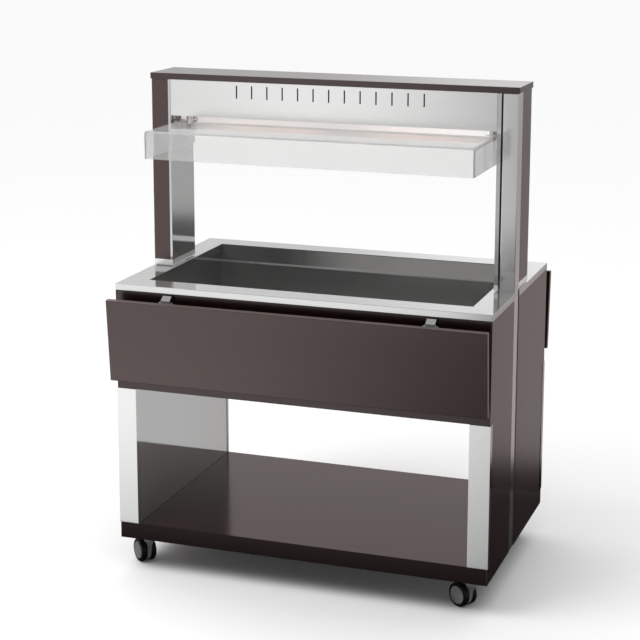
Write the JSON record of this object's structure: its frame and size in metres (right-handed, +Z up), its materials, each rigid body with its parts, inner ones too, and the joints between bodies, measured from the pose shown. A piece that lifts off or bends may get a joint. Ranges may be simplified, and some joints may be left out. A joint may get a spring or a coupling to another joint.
{
  "type": "heated food service trolley",
  "caption": "Wheeled buffet trolley with a sunken heated well, a lamp gantry with a clear hood above it, an open storage shelf below, and a shelf on each long side that folds up level.",
  "frame": {"origin": "on the floor, under the middle of the trolley", "axes": "+X to the right along the serving front, +Y from the serving front to the back, +Z up"},
  "size_m": [1.1245, 0.816, 1.458],
  "materials": {
    "dark_wood_laminate": "satin dark brown laminate with a fine wood grain",
    "brushed_steel": "fine brushed stainless steel",
    "polished_steel": "near-mirror polished stainless steel",
    "zinc_plated_steel": "plain plated steel",
    "clear_acrylic": "clear polished acrylic",
    "heat_lamp_quartz": "frosted quartz tube",
    "heater_silicone": "matte silicone",
    "black_plastic": "moulded, fine texture",
    "grey_caster_plastic": "moulded, matte",
    "black_caster_tyre": "matte, with a grey hub"
  },
  "bodies": {
    "trolley": {"base_shelf": "dark_wood_laminate", "front_panel": "dark_wood_laminate", "rear_panel": "dark_wood_laminate", "side_panel_right_front": "dark_wood_laminate", "side_panel_right_rear": "dark_wood_laminate", "side_panel_left_front": "dark_wood_laminate", "side_panel_left_rear": "dark_wood_laminate", "upright_board_left": "dark_wood_laminate", "upright_board_right": "dark_wood_laminate", "gantry_board": "dark_wood_laminate", "cabinet_floor": "dark_wood_laminate", "post_left": "brushed_steel", "post_right": "brushed_steel", "inner_cover_left": "brushed_steel", "inner_cover_right": "brushed_steel", "fascia_front": "brushed_steel", "fascia_rear": "brushed_steel", "drain_pipe": "brushed_steel", "hood_bracket_left": "brushed_steel", "hood_bracket_right": "brushed_steel", "control_box": "brushed_steel", "worktop": "polished_steel", "leg_facing_right_front": "polished_steel", "leg_facing_right_rear": "polished_steel", "leg_facing_left_front": "polished_steel", "leg_facing_left_rear": "polished_steel", "side_frame_left": "polished_steel", "side_frame_right": "polished_steel", "lamp_reflector": "polished_steel", "well": "polished_steel", "heater_mat": "heater_silicone", "heat_lamp_left": "heat_lamp_quartz", "heat_lamp_right": "heat_lamp_quartz", "hood": "clear_acrylic", "cable_gland": "black_plastic", "front_console_a": "zinc_plated_steel", "front_console_b": "zinc_plated_steel", "rear_console_a": "zinc_plated_steel", "rear_console_b": "zinc_plated_steel", "caster_mount_front_right": "zinc_plated_steel", "caster_mount_front_left": "zinc_plated_steel", "caster_mount_rear_right": "zinc_plated_steel", "caster_mount_rear_left": "zinc_plated_steel"},
    "front_folding_shelf": {"front_shelf": "dark_wood_laminate", "front_arm_a": "zinc_plated_steel", "front_arm_b": "zinc_plated_steel"},
    "rear_folding_shelf": {"rear_shelf": "dark_wood_laminate", "rear_arm_a": "zinc_plated_steel", "rear_arm_b": "zinc_plated_steel"},
    "drain_lever": {"drain_lever": "zinc_plated_steel"},
    "thermostat_knob": {"thermostat_knob": "black_plastic"},
    "rocker_switch": {"rocker_switch": "black_plastic"},
    "caster_body_front_right": {"caster_body_front_right": "grey_caster_plastic"},
    "caster_wheels_front_right": {"caster_wheels_front_right": "black_caster_tyre"},
    "caster_body_front_left": {"caster_body_front_left": "grey_caster_plastic"},
    "caster_wheels_front_left": {"caster_wheels_front_left": "black_caster_tyre"},
    "caster_body_rear_right": {"caster_body_rear_right": "grey_caster_plastic"},
    "caster_wheels_rear_right": {"caster_wheels_rear_right": "black_caster_tyre"},
    "caster_body_rear_left": {"caster_body_rear_left": "grey_caster_plastic"},
    "caster_wheels_rear_left": {"caster_wheels_rear_left": "black_caster_tyre"}
  },
  "joints": [
    {"name": "front_shelf_fold", "type": "hinge", "parent": "trolley", "child": "front_folding_shelf", "pos_m": [0, -0.363, 0.8297], "axis": [-1, 0, 0], "range_deg": [0, 94.7]},
    {"name": "rear_shelf_fold", "type": "hinge", "parent": "trolley", "child": "rear_folding_shelf", "pos_m": [0, 0.363, 0.8297], "axis": [1, 0, 0], "range_deg": [0, 94.7]},
    {"name": "drain_lever_turn", "type": "hinge", "parent": "trolley", "child": "drain_lever", "pos_m": [0.38, 0.2053, 0.53], "axis": [0, 1, 0], "range_deg": [0, 90]},
    {"name": "thermostat_knob_turn", "type": "hinge", "parent": "trolley", "child": "thermostat_knob", "pos_m": [-0.5352, -0.11, 0.7475], "axis": [1, 0, 0], "range_deg": [0, 270]},
    {"name": "rocker_switch_tip", "type": "hinge", "parent": "trolley", "child": "rocker_switch", "pos_m": [-0.5347, -0.19, 0.7475], "axis": [0, 0, 1], "range_deg": [0, 14]},
    {"name": "caster_swivel_front_right", "type": "hinge", "parent": "trolley", "child": "caster_body_front_right", "pos_m": [0.498, -0.282, 0.085], "axis": [0, 0, 1], "continuous": true},
    {"name": "caster_roll_front_right", "type": "hinge", "parent": "caster_body_front_right", "child": "caster_wheels_front_right", "pos_m": [0.47001, -0.26451, 0.0354], "axis": [0.5299, 0.848, 0], "continuous": true},
    {"name": "caster_swivel_front_left", "type": "hinge", "parent": "trolley", "child": "caster_body_front_left", "pos_m": [-0.498, -0.282, 0.085], "axis": [0, 0, 1], "continuous": true},
    {"name": "caster_roll_front_left", "type": "hinge", "parent": "caster_body_front_left", "child": "caster_wheels_front_left", "pos_m": [-0.52328, -0.26079, 0.0354], "axis": [0.6428, 0.766, 0], "continuous": true},
    {"name": "caster_swivel_rear_right", "type": "hinge", "parent": "trolley", "child": "caster_body_rear_right", "pos_m": [0.498, 0.282, 0.085], "axis": [0, 0, 1], "continuous": true},
    {"name": "caster_roll_rear_right", "type": "hinge", "parent": "caster_body_rear_right", "child": "caster_wheels_rear_right", "pos_m": [0.47001, 0.29949, 0.0354], "axis": [0.5299, 0.848, 0], "continuous": true},
    {"name": "caster_swivel_rear_left", "type": "hinge", "parent": "trolley", "child": "caster_body_rear_left", "pos_m": [-0.498, 0.282, 0.085], "axis": [0, 0, 1], "continuous": true},
    {"name": "caster_roll_rear_left", "type": "hinge", "parent": "caster_body_rear_left", "child": "caster_wheels_rear_left", "pos_m": [-0.52328, 0.30321, 0.0354], "axis": [0.6428, 0.766, 0], "continuous": true}
  ]
}
